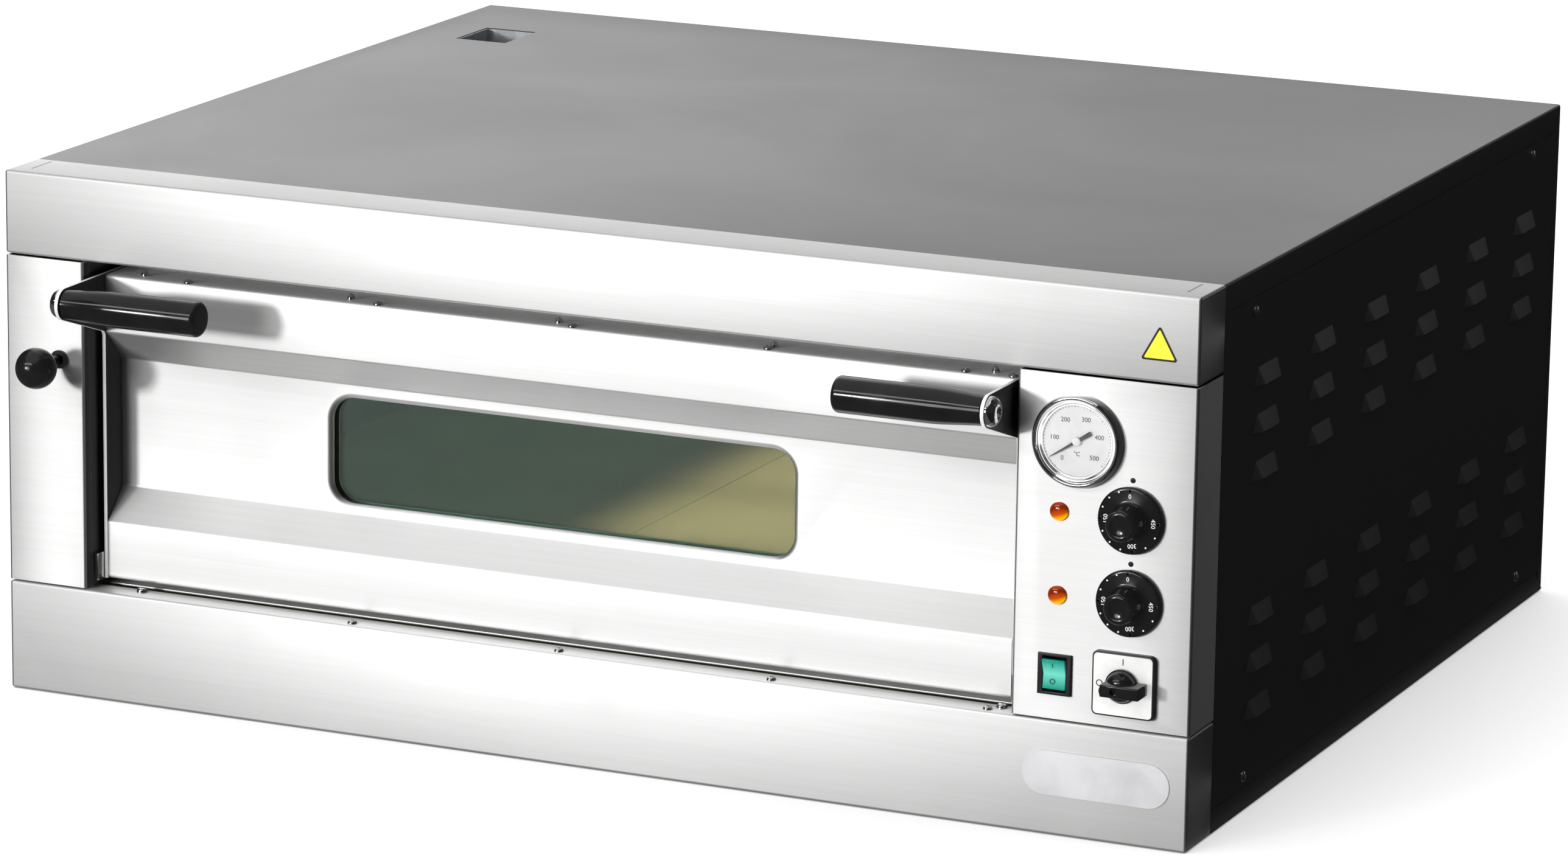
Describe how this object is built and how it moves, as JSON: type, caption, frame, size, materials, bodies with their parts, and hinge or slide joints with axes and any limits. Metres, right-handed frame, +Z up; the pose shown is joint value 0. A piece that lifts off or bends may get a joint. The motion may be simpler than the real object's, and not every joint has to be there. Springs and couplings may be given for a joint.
{
  "type": "deck oven",
  "caption": "Single-deck electric bakery oven with a drop-down windowed door, stone-floored chamber, flue damper and control column.",
  "frame": {"origin": "middle of the bounding box's footprint, on the underside of the base tray", "axes": "+X to the right seen from the front, front facing -Y, +Z up"},
  "size_m": [0.99, 0.9098, 0.412],
  "materials": {
    "coated_steel": "fine-textured charcoal powder coat, satin",
    "brushed_steel": "fine brushed",
    "chamber_steel": "aluminised, dull, heat tinted",
    "fireclay": "rough, porous",
    "element_sheath": "oxidised",
    "mineral_wool": "fibrous",
    "galvanised": "galvanised, spangled",
    "chrome": "polished",
    "bakelite": "glossy moulded",
    "black_plastic": "satin moulded",
    "grey_plastic": "satin moulded",
    "green_lens": "translucent",
    "amber_lens": "translucent",
    "glass": "clear",
    "seal": "woven glass rope"
  },
  "bodies": {
    "casing": {"top_cover": "coated_steel", "side_panel_left": "coated_steel", "side_panel_right": "coated_steel", "base_tray": "coated_steel", "rear_panel": "coated_steel", "top_fascia": "brushed_steel", "bottom_fascia": "brushed_steel", "left_column": "brushed_steel", "control_panel": "brushed_steel", "mouth_frame": "brushed_steel", "hinge_bracket_left": "brushed_steel", "hinge_bracket_right": "brushed_steel", "chamber_side_left": "chamber_steel", "chamber_side_right": "chamber_steel", "chamber_roof": "chamber_steel", "chamber_back": "chamber_steel", "floor_pan": "chamber_steel", "stone_support": "chamber_steel", "baking_stone_left": "fireclay", "baking_stone_right": "fireclay", "upper_element": "element_sheath", "lower_element": "element_sheath", "wool_blanket": "mineral_wool", "wool_bottom": "mineral_wool", "wool_left": "mineral_wool", "wool_right": "mineral_wool", "flue_duct": "galvanised", "thermostat_upper": "galvanised", "thermostat_lower": "galvanised", "hinge_pin_left": "chrome", "hinge_pin_right": "chrome", "thermometer_case": "chrome", "rocker_frame": "black_plastic", "cable_gland": "black_plastic", "main_switch": "grey_plastic", "contactor": "grey_plastic", "terminal_block": "grey_plastic", "signal_lamp_upper": "amber_lens", "signal_lamp_lower": "amber_lens", "thermometer_glass": "glass", "chamber_lamp_glass": "glass", "mouth_seal": "seal"},
    "door": {"door_front_skin": "brushed_steel", "door_inner_panel": "brushed_steel", "door_wool": "mineral_wool", "window_pane_outer": "glass", "window_pane_inner": "glass", "door_end_plate_left": "brushed_steel", "door_end_plate_right": "brushed_steel", "handle_left": "bakelite", "handle_right": "bakelite", "handle_screw_left": "chrome", "handle_screw_right": "chrome"},
    "damper": {"damper_slide": "galvanised", "damper_knob": "bakelite"},
    "upper_thermostat_knob": {"thermostat_knob_upper": "bakelite"},
    "lower_thermostat_knob": {"thermostat_knob_lower": "bakelite"},
    "main_switch_handle": {"main_switch_handle": "black_plastic"},
    "rocker": {"rocker_key": "green_lens"},
    "needle": {"thermometer_needle": "black_plastic"}
  },
  "joints": [
    {"name": "door_hinge", "type": "hinge", "parent": "casing", "child": "door", "pos_m": [-0.0355, -0.37012, 0.102], "axis": [1, 0, 0], "range_deg": [0, 90]},
    {"name": "damper_slide", "type": "slide", "parent": "casing", "child": "damper", "axis": [0, -1, 0], "range_m": [0, 0.054]},
    {"name": "upper_thermostat", "type": "hinge", "parent": "casing", "child": "upper_thermostat_knob", "pos_m": [0.4415, -0.41113, 0.244], "axis": [0, 1, 0], "range_deg": [0, 300]},
    {"name": "lower_thermostat", "type": "hinge", "parent": "casing", "child": "lower_thermostat_knob", "pos_m": [0.4415, -0.41113, 0.1825], "axis": [0, 1, 0], "range_deg": [0, 300]},
    {"name": "main_switch_turn", "type": "hinge", "parent": "casing", "child": "main_switch_handle", "pos_m": [0.4395, -0.41113, 0.121], "axis": [0, 1, 0], "range_deg": [0, 90]},
    {"name": "rocker_tip", "type": "hinge", "parent": "casing", "child": "rocker", "pos_m": [0.385, -0.39813, 0.122], "axis": [-1, 0, 0], "range_deg": [0, 14]},
    {"name": "needle_sweep", "type": "hinge", "parent": "casing", "child": "needle", "pos_m": [0.399, -0.40513, 0.298], "axis": [0, 1, 0], "range_deg": [0, 250], "stiffness_Nm_per_rad": 0.0005}
  ]
}
